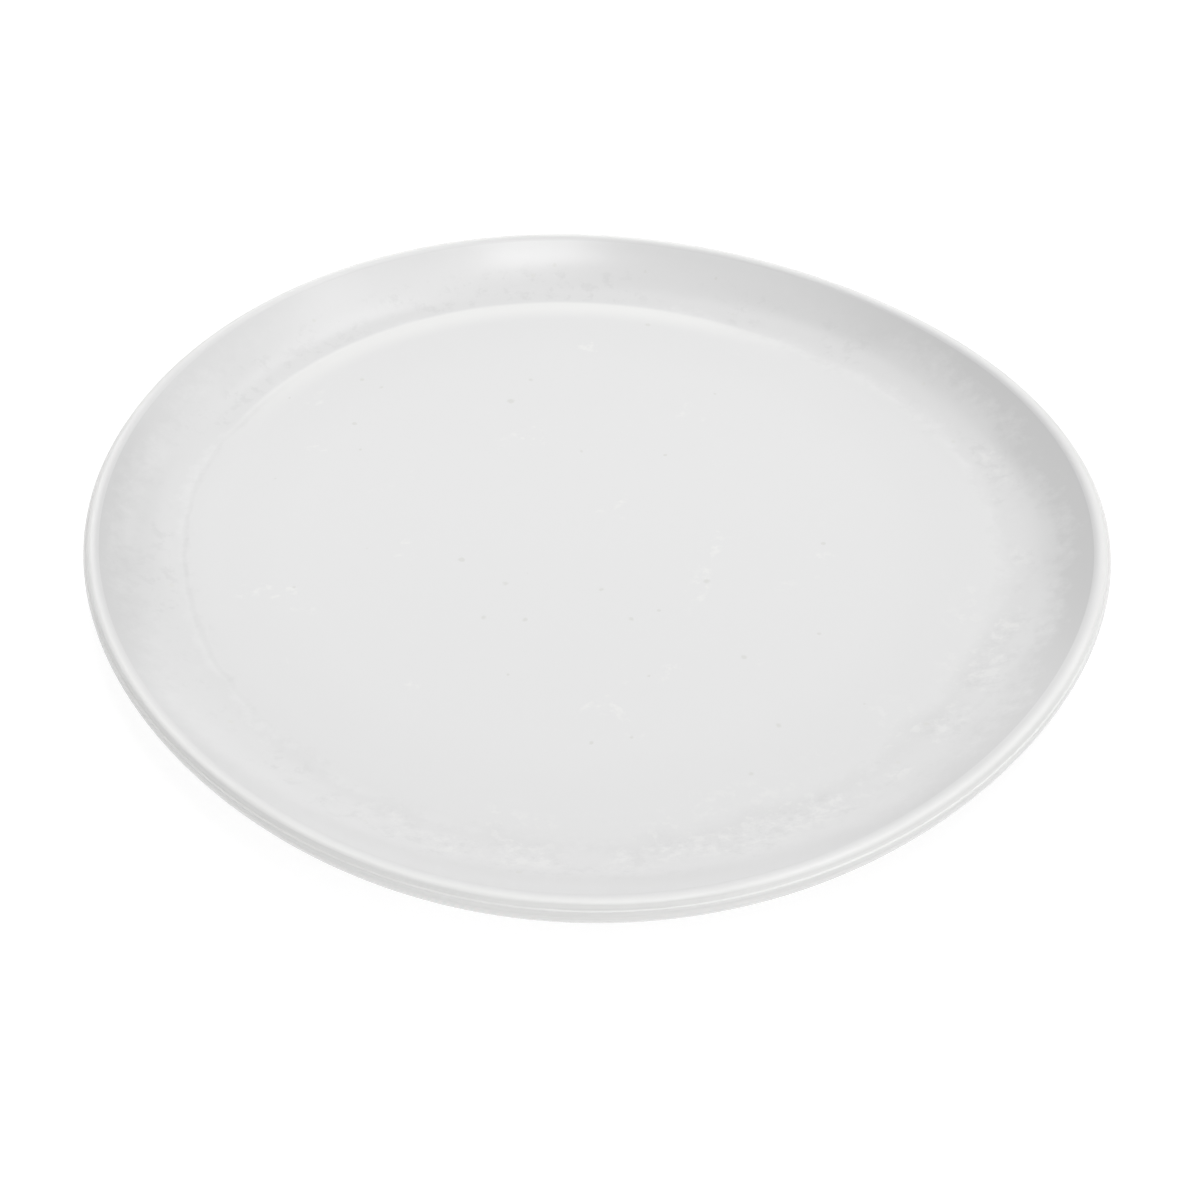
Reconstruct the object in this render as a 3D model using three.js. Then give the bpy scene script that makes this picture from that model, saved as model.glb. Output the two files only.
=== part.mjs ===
// Melamine coupe plate with a free, pebble-like outline: a thick moulded body, a printed decor foil
// fused to its eating face, and a clear glaze that seals the foil in.
// Millimetres, +Z up. The plate stands on z = 0, with the origin under the middle of its outline.
import * as THREE from "three";

// The crest of the rim, seen from above: a mean radius and the gentle lobes that swell it.
// Each lobe term swells the outline that many times round, first in the direction given in degrees.
const rimRadius = 127.5;
const ovalSwell = 3.2;
const ovalDirection = 111;
const triangleSwell = 1.85;
const triangleDirection = 15;
const squareSwell = 0.95;
const squareDirection = 7;

// Heights, from the table up.
const footHeight = 3.2;
const floorThickness = 3.65;
const wallRise = 8.75;

// The flat well is a low plateau inside the crease. Its middle lies off the middle of the rim.
const wallWidth = 24.2;
const wellShiftX = -1.6;
const wellShiftY = 2.6;
const plateauRise = 0.15;
const plateauShoulder = 6;

// The eating wall leaves the crease level and ends as a straight flank below the crest.
const flankRun = 13.6;

// Rim, from the crest outwards: a broad round lip, a steep bevel, the ledge where the flash of the mould
// was ground off, and a deep edge that bulges a little before it turns under.
const lipInside = 2;
const lipOutside = 1.2;
const lipDrop = 0.5;
const bevelRun = 0.4;
const bevelDrop = 1.05;
const ledgeWidth = 0.4;
const ledgeDrop = 0.1;
const edgeDrop = 5.75;
const edgeTuck = 2.2;
const edgeBulge = 0.9;
const edgeBulgeDrop = 2.15;
const turnUnder = 5.2;

// Foot ring, pressed in one with the body.
const footRadius = 92;
const footWidth = 3;
const footDraft = 0.8;
const footRound = 0.5;
const footRootRise = 2.4;

// Layers on the eating face. The glaze laps over the cut edge of the foil.
const foilThickness = 0.2;
const glazeThickness = 0.2;
const glazeLap = 1.2;

const segments = 56;
const curveSteps = 4;
const gentleCurveSteps = 6;

// Values that follow from the sizes above.
const wellHeight = footHeight + floorThickness;
const plateHeight = wellHeight + wallRise;
const creaseRadius = rimRadius - wallWidth;
const plateauRadius = creaseRadius - plateauShoulder;
const glazeRadius = rimRadius - lipInside;
const foilRadius = glazeRadius - glazeLap;
const flankSlope = wallRise / (flankRun + lipInside / 2);
const glazeEdgeHeight = plateHeight - (flankSlope * lipInside) / 2;
const foilEdgeHeight = glazeEdgeHeight - flankSlope * glazeLap;
const layersThickness = foilThickness + glazeThickness;

const lobes = [
  { count: 2, swell: ovalSwell, direction: ovalDirection },
  { count: 3, swell: triangleSwell, direction: triangleDirection },
  { count: 4, swell: squareSwell, direction: squareDirection },
];

// How far the outline swells past its mean radius at an angle in radians.
function swellAt(angle) {
  const terms = lobes.map(({ count, swell, direction }) => {
    const turned = angle - THREE.MathUtils.degToRad(direction);
    return swell * Math.cos(count * turned);
  });
  return terms.reduce((sum, term) => sum + term, 0);
}

// Moves a point of a round plate to its place on the lobed one. Every ring of the plate is a smaller
// copy of the rim, and the rings inside the rim shift over until they reach the well.
function shapePoint(x, y) {
  const radius = Math.hypot(x, y);
  const angle = Math.atan2(y, x);
  const lobed = radius * (1 + swellAt(angle) / rimRadius);
  const shift = THREE.MathUtils.clamp((rimRadius - radius) / wallWidth, 0, 1);
  return new THREE.Vector2(
    lobed * Math.cos(angle) + wellShiftX * shift,
    lobed * Math.sin(angle) + wellShiftY * shift,
  );
}

// The finished eating face, from the middle of the well to the cut edge of the foil.
function eatingFace() {
  const path = new THREE.Path();
  path.moveTo(0, wellHeight + plateauRise);
  path.lineTo(plateauRadius, wellHeight + plateauRise);
  const shoulderTop = creaseRadius - plateauShoulder / 2;
  path.quadraticCurveTo(shoulderTop, wellHeight + plateauRise, creaseRadius, wellHeight);
  path.quadraticCurveTo(glazeRadius - flankRun, wellHeight, foilRadius, foilEdgeHeight);
  return path.getPoints(gentleCurveSteps);
}

// The same points, sunk below the finished face by the layers that lie on them.
function sunk(points, depth) {
  return points.map(({ x, y }) => new THREE.Vector2(x, y - depth));
}

// The lip and the outside of the rim, from the edge of the glaze down to the foot ring.
function rimOutside() {
  const lipRadius = rimRadius + lipOutside;
  const lipHeight = plateHeight - lipDrop;
  const lipTurn = lipRadius - (lipDrop * bevelRun) / bevelDrop;
  const ledgeRadius = lipRadius + bevelRun;
  const ledgeHeight = lipHeight - bevelDrop;
  const edgeRadius = ledgeRadius + ledgeWidth;
  const edgeTop = ledgeHeight - ledgeDrop;
  const tuckRadius = edgeRadius - edgeTuck;
  const tuckHeight = edgeTop - edgeDrop;
  const tuckSlope = (edgeDrop - edgeBulgeDrop) / (edgeTuck + edgeBulge);
  const turnRadius = tuckRadius - turnUnder / Math.hypot(1, tuckSlope);
  const turnHeight = tuckHeight - tuckSlope * (tuckRadius - turnRadius);
  const path = new THREE.Path();
  path.moveTo(glazeRadius, glazeEdgeHeight);
  path.quadraticCurveTo(rimRadius - lipInside / 2, plateHeight, rimRadius, plateHeight);
  path.quadraticCurveTo(lipTurn, plateHeight, lipRadius, lipHeight);
  path.lineTo(ledgeRadius, ledgeHeight);
  path.lineTo(edgeRadius, edgeTop);
  path.quadraticCurveTo(edgeRadius + edgeBulge, edgeTop - edgeBulgeDrop, tuckRadius, tuckHeight);
  path.quadraticCurveTo(turnRadius, turnHeight, footRadius + footWidth / 2 + footDraft, footRootRise);
  return path.getPoints(curveSteps);
}

// Foot ring and underside, from the outer root of the ring to the middle of the plate.
function footAndUnderside() {
  const outer = footRadius + footWidth / 2;
  const inner = footRadius - footWidth / 2;
  const path = new THREE.Path();
  path.moveTo(outer + footDraft, footRootRise);
  path.lineTo(outer + footDraft / 2, footRound);
  path.lineTo(outer, 0);
  path.lineTo(inner, 0);
  path.lineTo(inner - footDraft / 2, footRound);
  path.lineTo(inner - footDraft, footHeight);
  path.lineTo(0, footHeight);
  return path.getPoints();
}

// Joins runs of a profile that starts and ends on the axis, without the points that two runs share.
function closedProfile(...runs) {
  const points = runs.flat();
  return points.filter((point, i) => i === 0 || point.distanceTo(points[i - 1]) > 1e-6);
}

const face = eatingFace();
const foilTop = sunk(face, glazeThickness);
const foilBed = sunk(face, layersThickness);
const glazeEdge = [new THREE.Vector2(glazeRadius, glazeEdgeHeight)];
const glazeEdgeBed = sunk(glazeEdge, layersThickness);
const outside = rimOutside();

// Middle of the plate's outline, where the rim is widest.
function outlineMiddle() {
  const widest = Math.max(...outside.map(({ x }) => x));
  const round = new THREE.Path().absarc(0, 0, widest, 0, 2 * Math.PI);
  const outline = round.getSpacedPoints(segments).map(({ x, y }) => shapePoint(x, y));
  return new THREE.Box2().setFromPoints(outline).getCenter(new THREE.Vector2());
}

const middle = outlineMiddle();

// Turns a profile of radius and height round the axis, then gives it the plate's outline.
function turnedSolid(profile) {
  const geometry = new THREE.LatheGeometry(profile, segments).rotateX(Math.PI / 2);
  const position = geometry.getAttribute("position");
  for (let i = 0; i < position.count; i += 1) {
    const place = shapePoint(position.getX(i), position.getY(i)).sub(middle);
    position.setXY(i, place.x, place.y);
  }
  return geometry;
}

// Turns the faces of a solid round, for a profile that runs the other way.
function reverseFaces(geometry) {
  const corners = geometry.getIndex();
  for (let i = 0; i < corners.count; i += 3) {
    const second = corners.getX(i + 1);
    corners.setX(i + 1, corners.getX(i + 2));
    corners.setX(i + 2, second);
  }
  return geometry;
}

const melamineBody = new THREE.MeshStandardMaterial({
  name: "melamine_body",
  color: "#e6e6e5",
  roughness: 0.38,
  metalness: 0,
});
const printedFoil = new THREE.MeshStandardMaterial({
  name: "printed_foil",
  color: "#e8e8e7",
  roughness: 0.6,
  metalness: 0,
});
const clearGlaze = new THREE.MeshStandardMaterial({
  name: "clear_glaze",
  color: "#ebebea",
  roughness: 0.28,
  metalness: 0,
});

function namedMesh(name, geometry, material) {
  geometry.computeVertexNormals();
  const mesh = new THREE.Mesh(geometry, material);
  mesh.name = name;
  return mesh;
}

function plateBody() {
  const underside = footAndUnderside().reverse();
  const profile = closedProfile(underside, outside.toReversed(), glazeEdgeBed, foilBed.toReversed());
  return namedMesh("plate_body", turnedSolid(profile), melamineBody);
}

// The foil's profile runs along its bed in the body's direction, so that the two faces, and the one
// under the glaze, are cut into the same triangles and lie flush.
function decorFoil() {
  const profile = closedProfile(foilTop, foilBed.toReversed());
  return namedMesh("decor_foil", reverseFaces(turnedSolid(profile)), printedFoil);
}

function glazeCoat() {
  const foilEdgeBed = foilBed.slice(-1);
  const under = [...foilTop, ...foilEdgeBed, ...glazeEdgeBed];
  const profile = closedProfile(under, glazeEdge, face.toReversed());
  return namedMesh("glaze_coat", turnedSolid(profile), clearGlaze);
}

const plate = new THREE.Group();
plate.name = "melamine_plate";
plate.add(plateBody(), decorFoil(), glazeCoat());

export default plate;
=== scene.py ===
"""Dresses a melamine coupe plate with a free, pebble-like outline.

The plate is a thick pressed body, a printed foil fused to its eating face, and a clear glaze over the foil.
Each is a finely turned piece that stands for the CAD node of the same place and size.
Sizes are written in millimetres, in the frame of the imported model, and become metres in the meshes.
"""

import logging
import math
from dataclasses import dataclass, replace
from enum import Enum
from typing import Any, ClassVar

import bpy
import numpy as np
from mathutils import Euler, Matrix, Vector


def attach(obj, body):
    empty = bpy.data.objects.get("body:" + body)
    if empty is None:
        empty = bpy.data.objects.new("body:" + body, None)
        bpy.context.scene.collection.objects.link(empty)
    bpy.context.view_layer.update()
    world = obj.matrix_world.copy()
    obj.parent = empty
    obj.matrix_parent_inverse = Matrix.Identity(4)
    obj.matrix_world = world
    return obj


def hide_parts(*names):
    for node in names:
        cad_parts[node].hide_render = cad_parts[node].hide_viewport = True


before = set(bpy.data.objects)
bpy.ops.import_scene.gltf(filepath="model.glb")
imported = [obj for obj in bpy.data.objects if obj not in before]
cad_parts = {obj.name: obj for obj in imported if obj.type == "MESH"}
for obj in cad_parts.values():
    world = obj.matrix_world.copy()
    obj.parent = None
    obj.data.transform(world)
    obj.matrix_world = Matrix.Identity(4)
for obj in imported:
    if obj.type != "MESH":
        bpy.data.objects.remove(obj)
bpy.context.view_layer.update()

MILLIMETRE = 0.001

# The point attribute that says how far a point lies outside the crease round the well, in metres.
CREASE_ATTRIBUTE = "past_crease"

# The value that a noise wavers about.
NOISE_MIDDLE = 0.5

# The colour sockets of a Mix node go by number, because its sockets for other data have the same names.
MIX_BELOW = 6
MIX_ABOVE = 7
MIX_RESULT = 2

log = logging.getLogger("melamine_plate")

Socket = bpy.types.NodeSocket
Tree = bpy.types.NodeTree

# A point of a profile is its radius and height. A span is where something starts and where it is full.
# A band along the crease is where it starts, is full, is full no more and ends.
Point = tuple[float, float]
Span = tuple[float, float]
Band = tuple[float, float, float, float]
Direction = tuple[float, float, float]


class Node(Enum):
    """The CAD nodes that the pieces stand for."""

    BODY = "plate_body"
    FOIL = "decor_foil"
    GLAZE = "glaze_coat"


class Slot(Enum):
    """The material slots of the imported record."""

    BODY = "melamine_body"
    FOIL = "printed_foil"
    GLAZE = "clear_glaze"


def linear_colour(hex_colour: str) -> tuple[float, float, float, float]:
    """Turns an sRGB hex colour into the linear colour that shader sockets take.

    The numbers are those of the sRGB standard's curve.

    Args:
        hex_colour: A colour such as "#e8e8e7".

    Returns:
        Red, green, blue and an alpha of 1.
    """
    shares = [int(hex_colour[i : i + 2], 16) / 255 for i in (1, 3, 5)]
    red, green, blue = (s / 12.92 if s <= 0.04045 else ((s + 0.055) / 1.055) ** 2.4 for s in shares)
    return red, green, blue, 1.0


def add_node(
    tree: Tree, kind: str, inputs: dict[str | int, Any] | None = None, **settings: Any
) -> bpy.types.Node:
    """Adds a node with its settings, and fills its sockets with values or links.

    Args:
        tree: The shader or geometry tree that gets the node.
        kind: Blender's name for the type of node.
        inputs: Socket names or numbers, each with a plain value or the output socket to link from.
        settings: Properties of the node itself, such as its operation.

    Returns:
        The new node.
    """
    node = tree.nodes.new(kind)
    for name, value in settings.items():
        setattr(node, name, value)
    for key, value in (inputs or {}).items():
        if isinstance(value, Socket):
            tree.links.new(value, node.inputs[key])
        else:
            node.inputs[key].default_value = value
    return node


def new_material(name: str) -> tuple[bpy.types.Material, Tree]:
    """Makes a material with an empty node tree.

    Args:
        name: The material's name.

    Returns:
        The material and its tree.
    """
    material = bpy.data.materials.new(name)
    material.use_nodes = True
    material.node_tree.nodes.clear()
    return material, material.node_tree


def curve(start: Point, control: Point, end: Point, steps: int) -> list[Point]:
    """Points on a quadratic curve.

    Args:
        start: Where the curve starts.
        control: Where the lines along its two ends meet.
        end: Where the curve ends.
        steps: How many straight pieces stand for it.

    Returns:
        The points, both ends included.
    """
    shares = np.linspace(0, 1, steps + 1)[:, None]
    bends = (1 - shares) ** 2 * start + 2 * shares * (1 - shares) * control + shares**2 * end
    return [(float(radius), float(height)) for radius, height in bends]


def softened(points: list[Point], reach: float, steps: int) -> list[Point]:
    """Rounds the inner corners of a run of profile points.

    Args:
        points: The run, with its corners between its two ends.
        reach: How far from a corner its rounding starts, in millimetres.
        steps: How many straight pieces stand for each rounding.

    Returns:
        The run with its ends kept and a short curve for each corner.
    """
    run = np.array(points, float)
    rounded = [points[0]]
    for before, corner, after in zip(run, run[1:], run[2:]):
        start = corner + (before - corner) * reach / math.dist(before, corner)
        end = corner + (after - corner) * reach / math.dist(after, corner)
        rounded += curve(start, corner, end, steps)
    return rounded + [points[-1]]


def sunk(points: list[Point], depth: float) -> list[Point]:
    """The same profile points, lower by a depth in millimetres."""
    return [(radius, height - depth) for radius, height in points]


@dataclass(frozen=True)
class PlateSizes:
    """Sizes of the plate's profile, as the CAD source has them.

    The foil and the glaze are thicker than real ones, so that they are sound solids.
    """

    rim_radius: float = 127.5
    foot_height: float = 3.2
    floor_thickness: float = 3.65
    wall_rise: float = 8.75
    wall_width: float = 24.2
    plateau_rise: float = 0.15
    plateau_shoulder: float = 6
    flank_run: float = 13.6
    lip_inside: float = 2
    lip_outside: float = 1.2
    lip_drop: float = 0.5
    bevel_run: float = 0.4
    bevel_drop: float = 1.05
    ledge_width: float = 0.4
    ledge_drop: float = 0.1
    ledge_round: float = 0.12
    edge_drop: float = 5.75
    edge_tuck: float = 2.2
    edge_bulge: float = 0.9
    edge_bulge_drop: float = 2.15
    turn_under: float = 5.2
    foot_radius: float = 92
    foot_width: float = 3
    foot_draft: float = 0.8
    foot_round: float = 0.5
    foot_root_rise: float = 2.4
    foil_thickness: float = 0.2
    glaze_thickness: float = 0.2
    glaze_lap: float = 1.2
    well_rings: int = 4
    round_steps: int = 4
    fine_steps: int = 16
    wall_steps: int = 32

    @property
    def well_height(self) -> float:
        """Height of the crease round the well."""
        return self.foot_height + self.floor_thickness

    @property
    def plate_height(self) -> float:
        """Height of the crest of the rim."""
        return self.well_height + self.wall_rise

    @property
    def crease_radius(self) -> float:
        """Radius of the crease, before the outline is shaped."""
        return self.rim_radius - self.wall_width

    @property
    def flank_slope(self) -> float:
        """Slope of the straight flank under the lip."""
        return self.wall_rise / (self.flank_run + self.lip_inside / 2)

    @property
    def glaze_edge(self) -> Point:
        """Where the glaze ends on the inside of the lip."""
        drop = self.flank_slope * self.lip_inside / 2
        return self.rim_radius - self.lip_inside, self.plate_height - drop

    @property
    def foil_edge(self) -> Point:
        """Where the glaze covers the cut edge of the foil."""
        radius, height = self.glaze_edge
        return radius - self.glaze_lap, height - self.flank_slope * self.glaze_lap

    def eating_face(self) -> list[Point]:
        """The finished face, from the middle of the well to the cut edge of the foil.

        Returns:
            The points of the profile, in millimetres.
        """
        top = self.well_height + self.plateau_rise
        plateau = self.crease_radius - self.plateau_shoulder
        crease = (self.crease_radius, self.well_height)
        well = [(float(radius), top) for radius in np.linspace(0, plateau, self.well_rings, endpoint=False)]
        shoulder_top = (self.crease_radius - self.plateau_shoulder / 2, top)
        shoulder = curve((plateau, top), shoulder_top, crease, self.fine_steps)
        flank_foot = (self.glaze_edge[0] - self.flank_run, self.well_height)
        wall = curve(crease, flank_foot, self.foil_edge, self.wall_steps)
        return well + shoulder + wall[1:]

    def rim_outside(self) -> list[Point]:
        """The lip and the outside of the rim, from the edge of the glaze to the root of the foot ring.

        Returns:
            The points of the profile, in millimetres.
        """
        crest = (self.rim_radius, self.plate_height)
        lip = (self.rim_radius + self.lip_outside, self.plate_height - self.lip_drop)
        lip_turn = (lip[0] - self.lip_drop * self.bevel_run / self.bevel_drop, self.plate_height)
        ledge = (lip[0] + self.bevel_run, lip[1] - self.bevel_drop)
        edge = (ledge[0] + self.ledge_width, ledge[1] - self.ledge_drop)
        bulge = (edge[0] + self.edge_bulge, edge[1] - self.edge_bulge_drop)
        tuck = (edge[0] - self.edge_tuck, edge[1] - self.edge_drop)
        tuck_slope = (bulge[1] - tuck[1]) / (bulge[0] - tuck[0])
        turn_run = self.turn_under / math.hypot(1, tuck_slope)
        turn = (tuck[0] - turn_run, tuck[1] - tuck_slope * turn_run)
        foot_root = (self.foot_radius + self.foot_width / 2 + self.foot_draft, self.foot_root_rise)
        inside_turn = (self.rim_radius - self.lip_inside / 2, self.plate_height)
        inside = curve(self.glaze_edge, inside_turn, crest, self.fine_steps)
        outside = curve(crest, lip_turn, lip, self.fine_steps)
        wall = curve(edge, bulge, tuck, self.fine_steps)
        under = curve(tuck, turn, foot_root, self.wall_steps)
        ground = softened([lip, ledge, edge, wall[1]], self.ledge_round, self.round_steps)
        return inside + outside[1:-1] + ground + wall[2:] + under[1:]

    def foot_and_underside(self) -> list[Point]:
        """The foot ring and the underside, from the outer root of the ring to the middle of the plate.

        Returns:
            The points of the profile, in millimetres.
        """
        outer = self.foot_radius + self.foot_width / 2
        inner = self.foot_radius - self.foot_width / 2
        corners = [
            (outer + self.foot_draft, self.foot_root_rise),
            (outer + self.foot_draft / 2, self.foot_round),
            (outer, 0),
            (inner, 0),
            (inner - self.foot_draft / 2, self.foot_round),
            (inner - self.foot_draft, self.foot_height),
            (0, self.foot_height),
        ]
        return softened(corners, self.foot_round / 2, self.round_steps)[1:]


@dataclass(frozen=True)
class PebbleOutline:
    """The rule that swells a round plate into its lobed outline.

    Each lobe term swells the rim a number of times round, first in a direction in degrees.
    Every ring is a smaller copy of the rim. Inside the rim the rings shift over until they reach the well.
    """

    sizes: PlateSizes
    counts: tuple[int, int, int] = (2, 3, 4)
    swells: tuple[float, float, float] = (3.2, 1.85, 0.95)
    directions: tuple[float, float, float] = (111, 15, 7)
    well_shift: Point = (-1.6, 2.6)
    cad_segments: int = 56
    sharp_angle: float = 35

    def middle(self) -> Point:
        """Middle of the box round the CAD outline at its widest, before it is centred.

        Returns:
            The middle, in millimetres.
        """
        widest = max(radius for radius, _ in self.sizes.rim_outside())
        angles = np.arange(self.cad_segments) * 2 * math.pi / self.cad_segments
        turned = angles[:, None] - np.radians(self.directions)
        swell = np.cos(turned * self.counts) @ self.swells
        radii = widest * (1 + swell / self.sizes.rim_radius)
        outline = np.column_stack((radii * np.cos(angles), radii * np.sin(angles)))
        x, y = (outline.min(0) + outline.max(0)) / 2
        return float(x), float(y)

    def inputs(self) -> dict[str, tuple[str, Any]]:
        """The tree's named inputs.

        Returns:
            Each input's type of socket and its value in metres or radians.
        """
        return {
            "Rim radius": ("NodeSocketFloat", self.sizes.rim_radius * MILLIMETRE),
            "Crease radius": ("NodeSocketFloat", self.sizes.crease_radius * MILLIMETRE),
            "Lobe counts": ("NodeSocketVector", [float(count) for count in self.counts]),
            "Lobe swells": ("NodeSocketVector", [swell * MILLIMETRE for swell in self.swells]),
            "Lobe directions": ("NodeSocketVector", [math.radians(turn) for turn in self.directions]),
            "Well shift": ("NodeSocketVector", [shift * MILLIMETRE for shift in (*self.well_shift, 0)]),
            "Outline middle": ("NodeSocketVector", [place * MILLIMETRE for place in (*self.middle(), 0)]),
            "Sharp angle": ("NodeSocketFloat", math.radians(self.sharp_angle)),
        }

    def tree(self) -> Tree:
        """Builds the geometry tree that shapes a turned piece and gives it its finish.

        Returns:
            The tree, with a named input for each size and one for the finish.
        """
        tree = bpy.data.node_groups.new("pebble_outline", "GeometryNodeTree")
        tree.interface.new_socket("Geometry", in_out="INPUT", socket_type="NodeSocketGeometry")
        for name, (kind, _) in self.inputs().items():
            tree.interface.new_socket(name, in_out="INPUT", socket_type=kind)
        tree.interface.new_socket("Finish", in_out="INPUT", socket_type="NodeSocketMaterial")
        tree.interface.new_socket("Geometry", in_out="OUTPUT", socket_type="NodeSocketGeometry")
        given = add_node(tree, "NodeGroupInput").outputs

        position = add_node(tree, "GeometryNodeInputPosition").outputs[0]
        flat = add_node(
            tree, "ShaderNodeVectorMath", {0: position, 1: (1, 1, 0)}, operation="MULTIPLY"
        ).outputs[0]
        radius = add_node(tree, "ShaderNodeVectorMath", {0: flat}, operation="LENGTH").outputs["Value"]
        axes = add_node(tree, "ShaderNodeSeparateXYZ", {0: position}).outputs
        angle = add_node(tree, "ShaderNodeMath", {0: axes["Y"], 1: axes["X"]}, operation="ARCTAN2").outputs[0]

        turned = add_node(
            tree, "ShaderNodeVectorMath", {0: angle, 1: given["Lobe directions"]}, operation="SUBTRACT"
        ).outputs[0]
        waves = add_node(
            tree, "ShaderNodeVectorMath", {0: turned, 1: given["Lobe counts"]}, operation="MULTIPLY"
        ).outputs[0]
        lobes = add_node(tree, "ShaderNodeVectorMath", {0: waves}, operation="COSINE").outputs[0]
        swell = add_node(
            tree, "ShaderNodeVectorMath", {0: lobes, 1: given["Lobe swells"]}, operation="DOT_PRODUCT"
        ).outputs["Value"]
        growth = add_node(
            tree, "ShaderNodeMath", {0: swell, 1: given["Rim radius"]}, operation="DIVIDE"
        ).outputs[0]
        swollen = add_node(
            tree, "ShaderNodeVectorMath", {0: flat, "Scale": growth}, operation="SCALE"
        ).outputs[0]

        inward = add_node(
            tree,
            "ShaderNodeMapRange",
            {"Value": radius, "From Min": given["Rim radius"], "From Max": given["Crease radius"]},
        ).outputs[0]
        shift = add_node(
            tree, "ShaderNodeVectorMath", {0: given["Well shift"], "Scale": inward}, operation="SCALE"
        ).outputs[0]
        centring = add_node(
            tree, "ShaderNodeVectorMath", {0: shift, 1: given["Outline middle"]}, operation="SUBTRACT"
        ).outputs[0]
        offset = add_node(
            tree, "ShaderNodeVectorMath", {0: swollen, 1: centring}, operation="ADD"
        ).outputs[0]

        past_crease = add_node(
            tree, "ShaderNodeMath", {0: radius, 1: given["Crease radius"]}, operation="SUBTRACT"
        ).outputs[0]
        marked = add_node(
            tree,
            "GeometryNodeStoreNamedAttribute",
            {"Geometry": given["Geometry"], "Name": CREASE_ATTRIBUTE, "Value": past_crease},
        ).outputs[0]
        shaped = add_node(tree, "GeometryNodeSetPosition", {"Geometry": marked, "Offset": offset}).outputs[0]
        smooth = add_node(tree, "GeometryNodeSetShadeSmooth", {"Geometry": shaped}).outputs[0]
        bend = add_node(tree, "GeometryNodeInputMeshEdgeAngle").outputs["Unsigned Angle"]
        corner = add_node(
            tree, "ShaderNodeMath", {0: bend, 1: given["Sharp angle"]}, operation="GREATER_THAN"
        ).outputs[0]
        creased = add_node(
            tree,
            "GeometryNodeSetShadeSmooth",
            {"Geometry": smooth, "Selection": corner, "Shade Smooth": False},
            domain="EDGE",
        ).outputs[0]
        realized = add_node(tree, "GeometryNodeRealizeInstances", {"Geometry": creased}).outputs[0]
        finished = add_node(
            tree, "GeometryNodeSetMaterial", {"Geometry": realized, "Material": given["Finish"]}
        ).outputs[0]
        add_node(tree, "NodeGroupOutput", {"Geometry": finished})
        return tree

    def shape(self, piece: bpy.types.Object, finish: bpy.types.Material) -> None:
        """Runs the tree on a turned piece and keeps the result as the piece's plain mesh.

        Args:
            piece: A round turned piece, at the origin.
            finish: The material that the piece gets.
        """
        tree = self.tree()
        modifier = piece.modifiers.new("outline", "NODES")
        modifier.node_group = tree
        values = {name: value for name, (_, value) in self.inputs().items()} | {"Finish": finish}
        for socket in tree.interface.items_tree:
            if socket.in_out == "INPUT" and socket.name in values:
                modifier[socket.identifier] = values[socket.name]
        depsgraph = bpy.context.evaluated_depsgraph_get()
        round_mesh = piece.data
        shaped = bpy.data.meshes.new_from_object(
            piece.evaluated_get(depsgraph), preserve_all_data_layers=True, depsgraph=depsgraph
        )
        piece.modifiers.clear()
        piece.data = shaped
        shaped.name = piece.name
        bpy.data.meshes.remove(round_mesh)


@dataclass(frozen=True)
class Noise:
    """A noise pattern: the size of its blotches in millimetres, its detail, and how rough the detail is."""

    size: float
    detail: float
    roughness: float = 0.5


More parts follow.
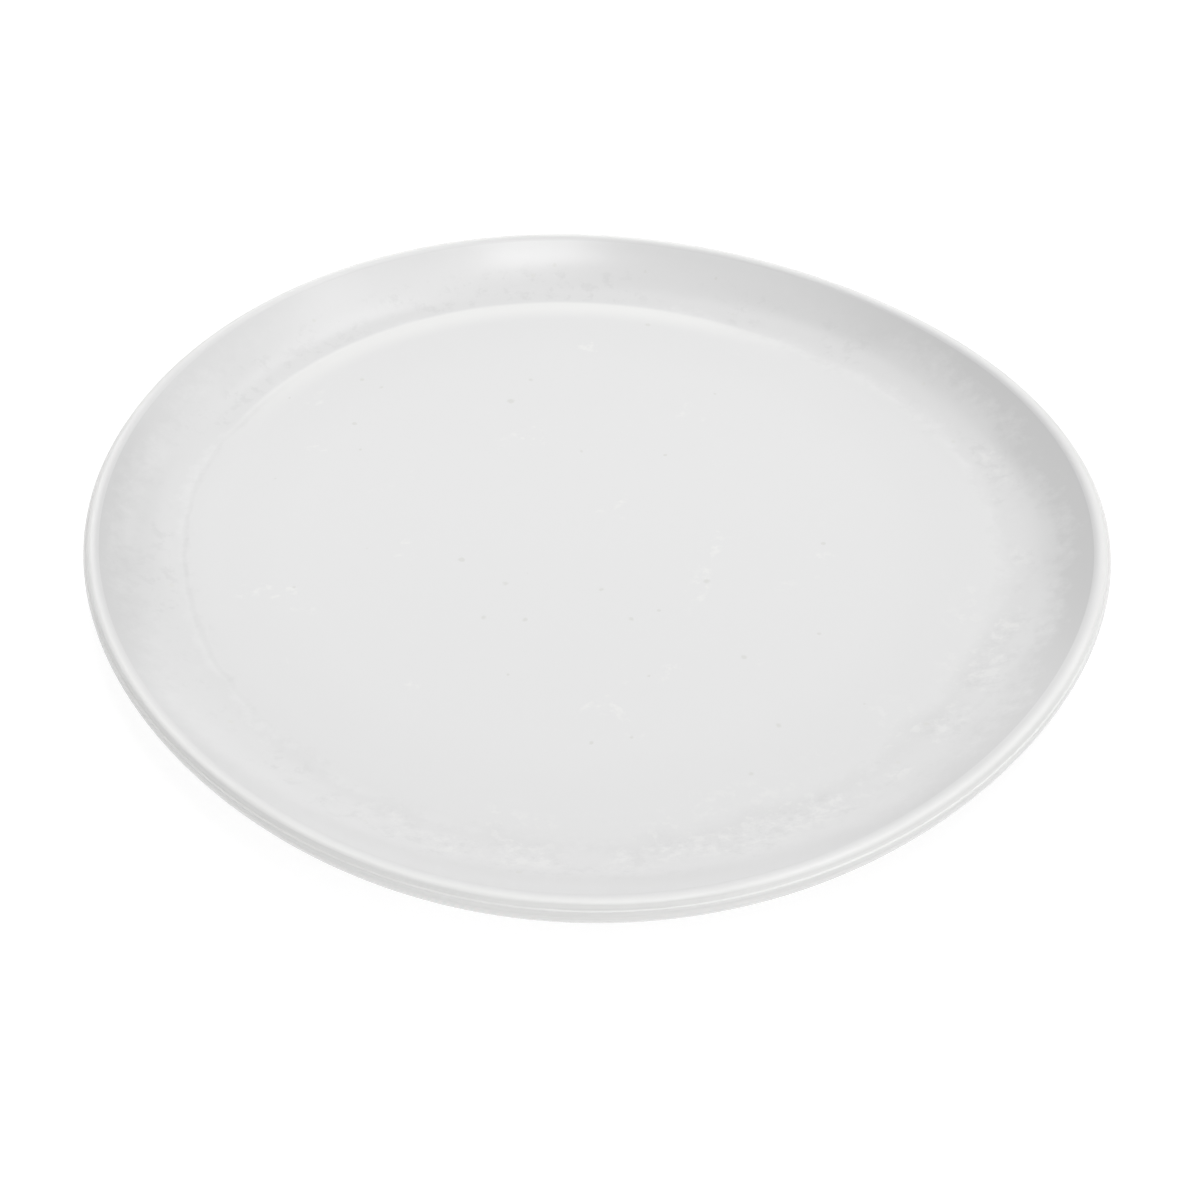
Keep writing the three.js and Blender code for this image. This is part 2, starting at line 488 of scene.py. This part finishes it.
@dataclass(frozen=True)
class PrintGround:
    """What the patterns of the print are drawn from, as sockets of its material's tree.

    The place on the plate and the distance past the crease are in metres, and both noises run from 0 to 1.
    A pattern is a socket with the share of a colour, which is 0 where the pattern isn't.
    """

    tree: Tree
    place: Socket
    past_crease: Socket
    sponge: Socket
    drift: Socket

    def wandering(self, fine: float, broad: float) -> "PrintGround":
        """The same ground with a crease that wanders in and out with the noises.

        Args:
            fine: How far the fine noise can move the crease in all, in millimetres.
            broad: How far the broad noise can move it.

        Returns:
            The ground with the distance past the wandering crease.
        """
        middle = (fine + broad) * NOISE_MIDDLE
        distance = add_node(
            self.tree, "ShaderNodeMath", {0: self.past_crease, 1: middle * MILLIMETRE}, operation="SUBTRACT"
        ).outputs[0]
        for noise, reach in ((self.sponge, fine), (self.drift, broad)):
            distance = add_node(
                self.tree,
                "ShaderNodeMath",
                {0: noise, 1: reach * MILLIMETRE, 2: distance},
                operation="MULTIPLY_ADD",
            ).outputs[0]
        return replace(self, past_crease=distance)

    def past(self, edge: Span, strength: Socket | float = 1) -> Socket:
        """All that lies past a soft edge along the crease.

        Args:
            edge: Where the pattern starts and where it is full, in millimetres past the crease.
            strength: The share where the pattern is full.

        Returns:
            The pattern.
        """
        start, full = (distance * MILLIMETRE for distance in edge)
        return add_node(
            self.tree,
            "ShaderNodeMapRange",
            {"Value": self.past_crease, "From Min": start, "From Max": full, "To Max": strength},
            interpolation_type="SMOOTHSTEP",
        ).outputs[0]

    def band(self, edges: Band, strength: Socket | float = 1) -> Socket:
        """A soft band along the crease.

        Args:
            edges: Where the band starts, is full, is full no more and ends, in millimetres past the crease.
            strength: The share where the band is full.

        Returns:
            The pattern.
        """
        inner, inner_full, outer_full, outer = edges
        from_well = self.past((inner, inner_full), strength)
        to_rim = self.past((outer, outer_full))
        return add_node(
            self.tree, "ShaderNodeMath", {0: from_well, 1: to_rim}, operation="MULTIPLY"
        ).outputs[0]

    def side(self, direction: Direction, reach: Span, strength: float = 1) -> Socket:
        """One side of the plate.

        Args:
            direction: Where that side lies.
            reach: How far out that way the pattern starts and where it is full, in millimetres.
            strength: The share where the pattern is full.

        Returns:
            The pattern.
        """
        towards = add_node(
            self.tree, "ShaderNodeVectorMath", {0: self.place, 1: direction}, operation="DOT_PRODUCT"
        ).outputs["Value"]
        start, full = (distance * MILLIMETRE for distance in reach)
        return add_node(
            self.tree,
            "ShaderNodeMapRange",
            {"Value": towards, "From Min": start, "From Max": full, "To Max": strength},
            interpolation_type="SMOOTHSTEP",
        ).outputs[0]

    def patches(self, edges: Band, rise: Span) -> Socket:
        """Patches of the broad noise inside a band along the crease.

        Args:
            edges: Where the band starts, is full, is full no more and ends, in millimetres past the crease.
            rise: The values of the noise at which a patch starts and is full.

        Returns:
            The pattern.
        """
        start, full = rise
        patch = add_node(
            self.tree,
            "ShaderNodeMapRange",
            {"Value": self.drift, "From Min": start, "From Max": full},
            interpolation_type="SMOOTHSTEP",
        ).outputs[0]
        return self.band(edges, patch)

    def grains(self, patches: Socket, rise: Span, strength: float = 1) -> Socket:
        """The grains that some patches are made of.

        Args:
            patches: Where the patches lie.
            rise: The values of the fine noise at which a grain starts and is full.
            strength: The share in a full grain.

        Returns:
            The pattern.
        """
        start, full = rise
        grain = add_node(
            self.tree,
            "ShaderNodeMapRange",
            {"Value": self.sponge, "From Min": start, "From Max": full, "To Max": strength},
            interpolation_type="SMOOTHSTEP",
        ).outputs[0]
        return add_node(
            self.tree, "ShaderNodeMath", {0: patches, 1: grain}, operation="MULTIPLY"
        ).outputs[0]


@dataclass(frozen=True)
class GlazedPrint:
    """Clear melamine glaze over the printed foil, pressed against a polished steel mould.

    The glaze is clear, so the eye sees the pale grey print through it, under the soft sheen of the resin.
    The print is plain in the well and a shade darker on the wall, with a ragged, sponged edge between them.
    Over it lie painted shade, from the outer well outwards, along the rim on the right and left and along the
    crease's left side, and a painted highlight inside the crease's far side.
    Places are in millimetres, and those past the crease round the well count outwards.
    """

    well_colour: str = "#e6e6e6"
    wall_colour: str = "#d6d6d6"
    cluster_colour: str = "#ebebea"
    # The colour of a painted highlight inside the far side of the crease.
    painted_highlight_colour: str = "#ececeb"
    speck_colour: str = "#dddddb"
    roughness: float = 0.2
    roughness_spread: float = 0.03
    refraction: float = 1.5

    # The fine and the broad noise that make the print uneven, and the slight ripple of pressed resin.
    sponge: Noise = Noise(3.6, 5, 0.66)
    drift: Noise = Noise(18, 2)
    orange_peel: Noise = Noise(5, 1)
    orange_peel_depth: float = 0.004

    # Clusters of pale grains along the crease, more on one side, and a few stray ones in the well.
    cluster_band: Band = (-15, -5, 8, 15)
    cluster_strength: float = 0.55
    cluster_side: Direction = (0.6, -0.8, 0)
    cluster_lean: float = 2
    cluster_gather: float = 0.22
    cluster_patch: Span = (0.66, 0.86)
    stray_band: Band = (-115, -105, -16, -6)
    stray_patch: Span = (0.665, 0.71)
    light_grain: Span = (0.49, 0.64)

    # Patches of dark grains on the lower wall.
    dark_band: Band = (-1, 4, 11, 17)
    dark_patch: Span = (0.4, 0.58)
    dark_grain: Span = (0.5, 0.36)
    dark_grain_strength: float = 0.34

    # A painted highlight inside the far side of the crease, and a line of painted shade that wanders along
    # its left side.
    painted_highlight_band: Band = (-8, -1.5, 0.3, 2)
    painted_highlight_side: Direction = (-0.26, 0.97, 0)
    painted_highlight_reach: Span = (62, 100)
    crease_shade_band: Band = (-1.2, -0.2, 0.2, 1.2)
    crease_shade_side: Direction = (-1, 0.1, 0)
    crease_shade_reach: Span = (55, 95)
    crease_shade_strength: float = 0.22
    crease_shade_wander: float = 5

    # Painted shade that starts in the outer well, the sponged wall, and painted shade along the rim on the
    # plate's right and left.
    painted_shade_rise: Span = (-30, -8)
    painted_shade_strength: float = 0.12
    wall_rise: Span = (-2, 4)
    wall_rag: float = 16
    wall_drift: float = 14
    wall_fade: Span = (20, 8)
    wall_strength: float = 0.32
    rim_shade_rise: Span = (9, 22)
    rim_shade_sides: tuple[tuple[Direction, Span], ...] = (((1, 0, 0), (35, 115)), ((-1, 0, 0), (65, 145)))

    # Fine dark specks, each full inside a share of its own size.
    speck_spacing: float = 12.6
    speck_sizes: Span = (0.4, 1.05)
    speck_rag: float = 2.4
    speck_core: float = 0.4
    speck_chance: float = 0.14

    def material(self) -> bpy.types.Material:
        """Builds the glaze as a material.

        Returns:
            The material.
        """
        material, tree = new_material("melamine_glaze_over_print")
        place = add_node(tree, "ShaderNodeTexCoord").outputs["Object"]
        past_crease = add_node(tree, "ShaderNodeAttribute", attribute_name=CREASE_ATTRIBUTE).outputs["Fac"]
        sponge, drift, peel = (
            add_node(
                tree,
                "ShaderNodeTexNoise",
                {
                    "Vector": place,
                    "Scale": 1 / (noise.size * MILLIMETRE),
                    "Detail": noise.detail,
                    "Roughness": noise.roughness,
                },
            ).outputs["Fac"]
            for noise in (self.sponge, self.drift, self.orange_peel)
        )
        bump = add_node(
            tree, "ShaderNodeBump", {"Height": peel, "Distance": self.orange_peel_depth * MILLIMETRE}
        ).outputs[0]
        gloss = add_node(
            tree,
            "ShaderNodeMapRange",
            {
                "Value": sponge,
                "To Min": self.roughness - self.roughness_spread,
                "To Max": self.roughness + self.roughness_spread,
            },
        ).outputs[0]
        colour = self.print_colour(PrintGround(tree, place, past_crease, sponge, drift))
        surface = add_node(
            tree,
            "ShaderNodeBsdfPrincipled",
            {"Base Color": colour, "Roughness": gloss, "IOR": self.refraction, "Normal": bump},
        ).outputs[0]
        add_node(tree, "ShaderNodeOutputMaterial", {"Surface": surface})
        return material

    def print_colour(self, ground: PrintGround) -> Socket:
        """The colour of the print, with its shades, painted shade and a painted highlight laid one over the
        other.

        Args:
            ground: What the patterns are drawn from.

        Returns:
            A socket with the colour.
        """
        # A painted highlight inside the far side of the crease.
        painted_highlight = ground.band(self.painted_highlight_band, ground.side(self.painted_highlight_side, self.painted_highlight_reach))
        layers = (
            (self.dark_share(ground), self.wall_colour, "MIX"),
            (painted_highlight, self.painted_highlight_colour, "MIX"),
            (self.light_share(ground), self.cluster_colour, "MIX"),
            (self.speck_share(ground), self.speck_colour, "DARKEN"),
        )
        colour = linear_colour(self.well_colour)
        for share, shade, blend in layers:
            colour = add_node(
                ground.tree,
                "ShaderNodeMix",
                {"Factor": share, MIX_BELOW: colour, MIX_ABOVE: linear_colour(shade)},
                data_type="RGBA",
                blend_type=blend,
            ).outputs[MIX_RESULT]
        return colour

    def dark_share(self, ground: PrintGround) -> Socket:
        """How dark the print is, from all the patterns that darken it together, painted shade among them.

        The wall fades out towards the rim, and on the plate's right and left painted shade darkens it again
        there.

        Args:
            ground: What the patterns are drawn from.

        Returns:
            A socket with the share of the wall's colour.
        """
        ragged = ground.wandering(self.wall_rag, self.wall_drift)
        wavering = ground.wandering(0, self.crease_shade_wander)
        dark_patches = ground.patches(self.dark_band, self.dark_patch)
        crease_shade_side = ground.side(self.crease_shade_side, self.crease_shade_reach, self.crease_shade_strength)
        patterns = [
            ragged.past(self.wall_rise, ground.past(self.wall_fade, self.wall_strength)),
            # Painted shade along the rim on the plate's right and left.
            *[ragged.past(self.rim_shade_rise, ground.side(*rim_shade_side)) for rim_shade_side in self.rim_shade_sides],
            ground.grains(dark_patches, self.dark_grain, self.dark_grain_strength),
            # Painted shade in a faint line that wanders along the crease's left side.
            wavering.band(self.crease_shade_band, crease_shade_side),
            # Painted shade from the outer well outwards over the wall.
            ground.past(self.painted_shade_rise, self.painted_shade_strength),
        ]
        dark = patterns[0]
        for pattern in patterns[1:]:
            dark = add_node(ground.tree, "ShaderNodeMath", {0: dark, 1: pattern}, operation="ADD").outputs[0]
        return dark

    def light_share(self, ground: PrintGround) -> Socket:
        """Where pale grains lie, in clusters that gather along the crease and in stray patches in the well.

        Args:
            ground: What the patterns are drawn from.

        Returns:
            A socket with the share of the clusters' colour.
        """
        band = ground.band(self.cluster_band, self.cluster_strength)
        towards = add_node(
            ground.tree,
            "ShaderNodeVectorMath",
            {0: ground.place, 1: self.cluster_side},
            operation="DOT_PRODUCT",
        ).outputs["Value"]
        gathered = ground.drift
        for pull, weight in ((band, self.cluster_gather), (towards, self.cluster_lean)):
            gathered = add_node(
                ground.tree, "ShaderNodeMath", {0: pull, 1: weight, 2: gathered}, operation="MULTIPLY_ADD"
            ).outputs[0]
        start, full = self.cluster_patch
        clusters = add_node(
            ground.tree,
            "ShaderNodeMapRange",
            {"Value": gathered, "From Min": start, "From Max": full, "To Max": band},
            interpolation_type="SMOOTHSTEP",
        ).outputs[0]
        strays = ground.patches(self.stray_band, self.stray_patch)
        patches = add_node(
            ground.tree, "ShaderNodeMath", {0: clusters, 1: strays}, operation="MAXIMUM"
        ).outputs[0]
        return ground.grains(patches, self.light_grain)

    def speck_share(self, ground: PrintGround) -> Socket:
        """Where a fine dark speck lies: in a random few of the cells of a wide pattern, each of its own size.

        Args:
            ground: What the patterns are drawn from. Its fine noise makes the specks ragged.

        Returns:
            A socket with the share of the specks' colour.
        """
        tree = ground.tree
        cells = add_node(
            tree,
            "ShaderNodeTexVoronoi",
            {"Vector": ground.place, "Scale": 1 / (self.speck_spacing * MILLIMETRE)},
            voronoi_dimensions="2D",
        ).outputs
        chances = add_node(tree, "ShaderNodeSeparateColor", {0: cells["Color"]}).outputs
        kept = add_node(
            tree, "ShaderNodeMath", {0: chances["Blue"], 1: self.speck_chance}, operation="LESS_THAN"
        ).outputs[0]
        smallest, largest = (size / self.speck_spacing for size in self.speck_sizes)
        size = add_node(
            tree, "ShaderNodeMapRange", {"Value": chances["Green"], "To Min": smallest, "To Max": largest}
        ).outputs[0]
        rag = self.speck_rag / self.speck_spacing
        ragged = add_node(
            tree,
            "ShaderNodeMath",
            {0: ground.sponge, 1: rag, 2: cells["Distance"]},
            operation="MULTIPLY_ADD",
        ).outputs[0]
        outward = add_node(
            tree, "ShaderNodeMath", {0: ragged, 1: rag * NOISE_MIDDLE}, operation="SUBTRACT"
        ).outputs[0]
        depth = add_node(tree, "ShaderNodeMath", {0: outward, 1: size}, operation="DIVIDE").outputs[0]
        near = add_node(
            tree, "ShaderNodeMapRange", {"Value": depth, "From Min": 1, "From Max": self.speck_core}
        ).outputs[0]
        return add_node(tree, "ShaderNodeMath", {0: near, 1: kept}, operation="MULTIPLY").outputs[0]


@dataclass(frozen=True)
class PrintedFoil:
    """Decor paper printed pale grey, soaked with melamine resin and fused to the body.

    It is matte and finely fibrous. Real fibres are too fine to show, so these are drawn coarser.
    """

    paper_colour: str = "#e8e8e7"
    fibre_colour: str = "#e0e0df"
    roughness: float = 0.6
    fibre_size: float = 0.8
    fibre_detail: float = 5

    def material(self) -> bpy.types.Material:
        """Builds the foil as a material.

        Returns:
            The material.
        """
        material, tree = new_material("printed_decor_paper")
        place = add_node(tree, "ShaderNodeTexCoord").outputs["Object"]
        fibre = add_node(
            tree,
            "ShaderNodeTexNoise",
            {"Vector": place, "Scale": 1 / (self.fibre_size * MILLIMETRE), "Detail": self.fibre_detail},
        ).outputs["Fac"]
        paper, fibres = (linear_colour(shade) for shade in (self.paper_colour, self.fibre_colour))
        colour = add_node(
            tree,
            "ShaderNodeMix",
            {"Factor": fibre, MIX_BELOW: paper, MIX_ABOVE: fibres},
            data_type="RGBA",
        ).outputs[MIX_RESULT]
        surface = add_node(
            tree, "ShaderNodeBsdfPrincipled", {"Base Color": colour, "Roughness": self.roughness}
        ).outputs[0]
        add_node(tree, "ShaderNodeOutputMaterial", {"Surface": surface})
        return material


@dataclass(frozen=True)
class PressedMelamine:
    """Cellulose-filled melamine, pressed hot in a steel mould: a close satin surface, pale grey all through.

    The outside of the rim was ground and polished after pressing, which leaves faint level streaks.
    Real ones are too fine to show, so these are drawn coarser.
    On the inside of the lip the body is painted a darker grey, as painted shade, so that only its crest is
    bright.
    Sizes are in millimetres, and the end of the painted shade counts outwards from the crease.
    """

    colour: str = "#f3f3f2"
    streak_colour: str = "#ececeb"
    # The colour of painted shade on the inside of the lip.
    lip_shade_colour: str = "#e0e0e0"
    lip_shade_end: Span = (22.7, 24.8)
    lip_shade_height: float = 14.5
    roughness: float = 0.22
    roughness_spread: float = 0.04
    refraction: float = 1.5
    streak_length: float = 30
    streak_height: float = 0.5
    streak_detail: float = 3
    streak_rise: Span = (0.45, 0.75)

    def material(self) -> bpy.types.Material:
        """Builds the moulded body as a material.

        Returns:
            The material.
        """
        material, tree = new_material("pressed_melamine")
        place = add_node(tree, "ShaderNodeTexCoord").outputs["Object"]
        along, up = (1 / (size * MILLIMETRE) for size in (self.streak_length, self.streak_height))
        stretched = add_node(
            tree, "ShaderNodeMapping", {"Vector": place, "Scale": (along, along, up)}
        ).outputs[0]
        streak = add_node(
            tree, "ShaderNodeTexNoise", {"Vector": stretched, "Scale": 1, "Detail": self.streak_detail}
        ).outputs["Fac"]
        start, full = self.streak_rise
        strong = add_node(
            tree, "ShaderNodeMapRange", {"Value": streak, "From Min": start, "From Max": full}
        ).outputs[0]
        streaked = add_node(
            tree,
            "ShaderNodeMix",
            {
                "Factor": strong,
                MIX_BELOW: linear_colour(self.colour),
                MIX_ABOVE: linear_colour(self.streak_colour),
            },
            data_type="RGBA",
        ).outputs[MIX_RESULT]
        blended = add_node(
            tree,
            "ShaderNodeMix",
            {
                # Painted shade on the inside of the lip, and the body's own colour elsewhere.
                "Factor": self.unshaded_share(tree, place),
                MIX_BELOW: linear_colour(self.lip_shade_colour),
                MIX_ABOVE: streaked,
            },
            data_type="RGBA",
        ).outputs[MIX_RESULT]
        gloss = add_node(
            tree,
            "ShaderNodeMapRange",
            {
                "Value": streak,
                "To Min": self.roughness - self.roughness_spread,
                "To Max": self.roughness + self.roughness_spread,
            },
        ).outputs[0]
        surface = add_node(
            tree,
            "ShaderNodeBsdfPrincipled",
            {"Base Color": blended, "Roughness": gloss, "IOR": self.refraction},
        ).outputs[0]
        add_node(tree, "ShaderNodeOutputMaterial", {"Surface": surface})
        return material

    def unshaded_share(self, tree: Tree, place: Socket) -> Socket:
        """Where the body shows its own colour: past the painted shade on the inside of the lip, and below the
        lip.

        Args:
            tree: The material's tree.
            place: The point's place on the plate, in metres.

        Returns:
            A socket with the share, 0 where the inside of the lip has the painted shade.
        """
        past_crease = add_node(tree, "ShaderNodeAttribute", attribute_name=CREASE_ATTRIBUTE).outputs["Fac"]
        shaded, bare = (edge * MILLIMETRE for edge in self.lip_shade_end)
        on_lip = add_node(
            tree,
            "ShaderNodeMapRange",
            {"Value": past_crease, "From Min": shaded, "From Max": bare},
            interpolation_type="SMOOTHSTEP",
        ).outputs[0]
        height = add_node(tree, "ShaderNodeSeparateXYZ", {0: place}).outputs["Z"]
        below = add_node(
            tree, "ShaderNodeMath", {0: height, 1: self.lip_shade_height * MILLIMETRE}, operation="LESS_THAN"
        ).outputs[0]
        return add_node(tree, "ShaderNodeMath", {0: on_lip, 1: below}, operation="MAXIMUM").outputs[0]


@dataclass
class TurnedPiece:
    """A piece of the plate that is turned round the axis and then gets the plate's outline."""

    sizes: PlateSizes
    outline: PebbleOutline
    segments: int = 360

    node: ClassVar[Node]
    slot: ClassVar[Slot]
    finish: ClassVar[PressedMelamine | PrintedFoil | GlazedPrint]

    def profile(self) -> list[Point]:
        """The closed profile, from the axis along the top, round the edge and back below."""
        raise NotImplementedError

    def build(self) -> bpy.types.Object:
        """Turns the profile round the axis into a round piece.

        Returns:
            The piece, in the scene and at the origin.
        """
        profile = np.array(self.profile()) * MILLIMETRE
        angles = np.arange(self.segments) * 2 * math.pi / self.segments
        radii, heights = profile[1:-1].T
        across = np.outer(radii, np.cos(angles))
        along = np.outer(radii, np.sin(angles))
        up = np.repeat(heights[:, None], self.segments, axis=1)
        rings = np.stack((across, along, up), axis=-1).reshape(-1, 3)
        top, bottom = ((0, 0, height) for height in profile[[0, -1], 1])
        here = np.arange(len(rings)).reshape(-1, self.segments)
        next_round = np.roll(here, -1, axis=1)
        quads = np.stack((here[:-1], here[1:], next_round[1:], next_round[:-1]), axis=-1).reshape(-1, 4)
        top_fan = [(len(rings), *ends) for ends in zip(here[0], next_round[0])]
        bottom_fan = [(len(rings) + 1, *ends) for ends in zip(next_round[-1], here[-1])]
        mesh = bpy.data.meshes.new(f"{self.node.value}_turned")
        mesh.from_pydata([*rings, top, bottom], [], [*quads.tolist(), *top_fan, *bottom_fan])
        piece = bpy.data.objects.new(f"{self.node.value}_dressed", mesh)
        bpy.context.scene.collection.objects.link(piece)
        return piece

    def dress(self, piece: bpy.types.Object) -> None:
        """Gives the piece its outline and finish, and puts it in the place of its CAD node.

        Args:
            piece: The round piece that build made.
        """
        self.outline.shape(piece, self.finish.material())
        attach(piece, "root")
        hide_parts(self.node.value)


class PlateBody(TurnedPiece):
    """The thick pressed body, with its lip, its deep edge and its foot ring."""

    node = Node.BODY
    slot = Slot.BODY
    finish = PressedMelamine()

    def profile(self) -> list[Point]:
        """The closed profile of the body.

        Returns:
            The points of the profile, in millimetres.
        """
        layers = self.sizes.foil_thickness + self.sizes.glaze_thickness
        bed = sunk([*self.sizes.eating_face(), self.sizes.glaze_edge], layers)
        return bed + self.sizes.rim_outside() + self.sizes.foot_and_underside()


class DecorFoil(TurnedPiece):
    """The printed foil that is fused to the eating face of the body."""

    node = Node.FOIL
    slot = Slot.FOIL
    finish = PrintedFoil()

    def profile(self) -> list[Point]:
        """The closed profile of the foil."""
        top = sunk(self.sizes.eating_face(), self.sizes.glaze_thickness)
        return top + sunk(top, self.sizes.foil_thickness)[::-1]


class GlazeCoat(TurnedPiece):
    """The clear glaze over the foil, which laps over the foil's cut edge."""

    node = Node.GLAZE
    slot = Slot.GLAZE
    finish = GlazedPrint()

    def profile(self) -> list[Point]:
        """The closed profile of the glaze.

        Returns:
            The points of the profile, in millimetres.
        """
        face = self.sizes.eating_face()
        edge = self.sizes.glaze_edge
        layers = self.sizes.foil_thickness + self.sizes.glaze_thickness
        lap = sunk([edge, face[-1]], layers)
        return face + [edge] + lap + sunk(face, self.sizes.glaze_thickness)[::-1]


@dataclass(frozen=True)
class Softbox:
    """A square diffused lamp that faces the plate.

    The azimuth is in degrees from the camera's side towards the right, and the elevation above the floor.
    The brightness is that of the lamp's face. Width and distance are in metres.
    """

    name: str
    azimuth: float
    elevation: float
    width: float
    brightness: float
    distance: float = 2.8

    def hang(self) -> None:
        """Hangs the lamp in the scene."""
        lamp = bpy.data.lights.new(self.name, "AREA")
        lamp.shape = "SQUARE"
        lamp.size = self.width
        lamp.energy = math.pi * self.width**2 * self.brightness
        turn, rise = math.radians(self.azimuth), math.radians(self.elevation)
        level = math.cos(rise)
        towards = Vector((math.sin(turn) * level, -math.cos(turn) * level, math.sin(rise)))
        stand = bpy.data.objects.new(self.name, lamp)
        stand.location = towards * self.distance
        stand.rotation_euler = towards.to_track_quat("Z", "Y").to_euler()
        bpy.context.scene.collection.objects.link(stand)


@dataclass(frozen=True)
class Studio:
    """A white floor and surround, soft lamps, and the camera at the photograph's place.

    Angles are in degrees, the floor's width is in metres, and its gap and the camera's sizes in millimetres.
    """

    softboxes: tuple[Softbox, ...] = (
        Softbox("key_softbox", 20, 86, 0.6, 6),
        Softbox("high_right_softbox", 120, 74, 1.4, 1.75),
        Softbox("high_back_softbox", 180, 74, 1.4, 0.8),
        Softbox("back_right_softbox", 132, 52, 1.7, 1.35),
        Softbox("back_top_softbox", 180, 52, 1.7, 1.32),
        Softbox("back_middle_softbox", 184, 29, 1, 0.5),
        Softbox("back_low_softbox", 180, 17, 1.4, 0.92),
        Softbox("front_left_softbox", 325, 30, 1.7, 1.7),
        Softbox("front_right_softbox", 44, 18, 1.5, 2.75),
    )
    fill_brightness: float = 0.22
    surround_colour: str = "#ffffff"
    floor_colour: str = "#f4f4f4"
    floor_glow: float = 0.85
    floor_shade: str = "#959595"
    floor_width: float = 6
    floor_gap: float = 0.1
    camera_target: Direction = (0.91, -30.38, 15.6)
    camera_elevation: float = 40.03
    camera_distance: float = 700
    focal_length: float = 86.86

    def seen(self, tree: Tree) -> Socket:
        """A socket that is 1 where the camera looks, straight or by a reflection or through clear matter.

        Args:
            tree: The tree that gets the nodes.

        Returns:
            The socket.
        """
        rays = add_node(tree, "ShaderNodeLightPath").outputs
        straight = add_node(
            tree, "ShaderNodeMath", {0: rays["Is Camera Ray"], 1: rays["Is Glossy Ray"]}, operation="MAXIMUM"
        ).outputs[0]
        return add_node(
            tree, "ShaderNodeMath", {0: straight, 1: rays["Is Transmission Ray"]}, operation="MAXIMUM"
        ).outputs[0]

    def surround(self) -> None:
        """Sets a world that fills the shade softly and looks white."""
        world = bpy.data.worlds.new("white_surround")
        bpy.context.scene.world = world
        world.use_nodes = True
        tree = world.node_tree
        tree.nodes.clear()
        strength = add_node(
            tree,
            "ShaderNodeMapRange",
            {"Value": self.seen(tree), "To Min": self.fill_brightness, "To Max": 1},
        ).outputs[0]
        white = linear_colour(self.surround_colour)
        light = add_node(tree, "ShaderNodeBackground", {"Color": white, "Strength": strength}).outputs[0]
        add_node(tree, "ShaderNodeOutputWorld", {"Surface": light})

    def floor_paint(self) -> bpy.types.Material:
        """White paint that shows a shadow faintly, and is clear from below.

        Returns:
            The material.
        """
        material, tree = new_material("white_floor")
        paint, shade = (
            add_node(tree, "ShaderNodeBsdfDiffuse", {"Color": linear_colour(colour)}).outputs[0]
            for colour in (self.floor_colour, self.floor_shade)
        )
        glow = add_node(tree, "ShaderNodeEmission", {"Strength": self.floor_glow}).outputs[0]
        white = add_node(tree, "ShaderNodeAddShader", {0: glow, 1: shade}).outputs[0]
        above = add_node(tree, "ShaderNodeMixShader", {0: self.seen(tree), 1: paint, 2: white}).outputs[0]
        clear = add_node(tree, "ShaderNodeBsdfTransparent").outputs[0]
        below = add_node(tree, "ShaderNodeNewGeometry").outputs["Backfacing"]
        surface = add_node(tree, "ShaderNodeMixShader", {0: below, 1: above, 2: clear}).outputs[0]
        add_node(tree, "ShaderNodeOutputMaterial", {"Surface": surface})
        return material

    def floor(self) -> None:
        """Lays the floor under the plate."""
        reach = self.floor_width / 2
        mesh = bpy.data.meshes.new("floor")
        # The foot ring's flat face would flicker against a floor at exactly its own height.
        low = -self.floor_gap * MILLIMETRE
        corners = [(-reach, -reach, low), (reach, -reach, low), (reach, reach, low), (-reach, reach, low)]
        mesh.from_pydata(corners, [], [(0, 1, 2, 3)])
        mesh.materials.append(self.floor_paint())
        floor = bpy.data.objects.new("floor", mesh)
        bpy.context.scene.collection.objects.link(floor)

    def camera(self) -> None:
        """Sets the camera up and makes it the scene's own."""
        lens = bpy.data.cameras.new("camera")
        lens.lens = self.focal_length
        rise = math.radians(self.camera_elevation)
        back = Vector((0, -math.cos(rise), math.sin(rise)))
        stand = bpy.data.objects.new("camera", lens)
        stand.location = (Vector(self.camera_target) + back * self.camera_distance) * MILLIMETRE
        stand.rotation_euler = Euler((math.pi / 2 - rise, 0, 0))
        bpy.context.scene.collection.objects.link(stand)
        bpy.context.scene.camera = stand

    def set_up(self) -> None:
        """Sets up the whole studio."""
        bpy.context.scene.view_settings.view_transform = "Standard"
        self.surround()
        self.floor()
        for softbox in self.softboxes:
            softbox.hang()
        self.camera()


def main() -> None:
    """Builds the plate piece by piece, and the studio round it."""
    sizes = PlateSizes()
    outline = PebbleOutline(sizes)
    for make in (PlateBody, DecorFoil, GlazeCoat):
        maker = make(sizes, outline)
        piece = maker.build()
        maker.dress(piece)
        log.info("%s: %d faces", piece.name, len(piece.data.polygons))
    Studio().set_up()


if __name__ == "__main__":
    logging.basicConfig(level=logging.INFO)
    main()
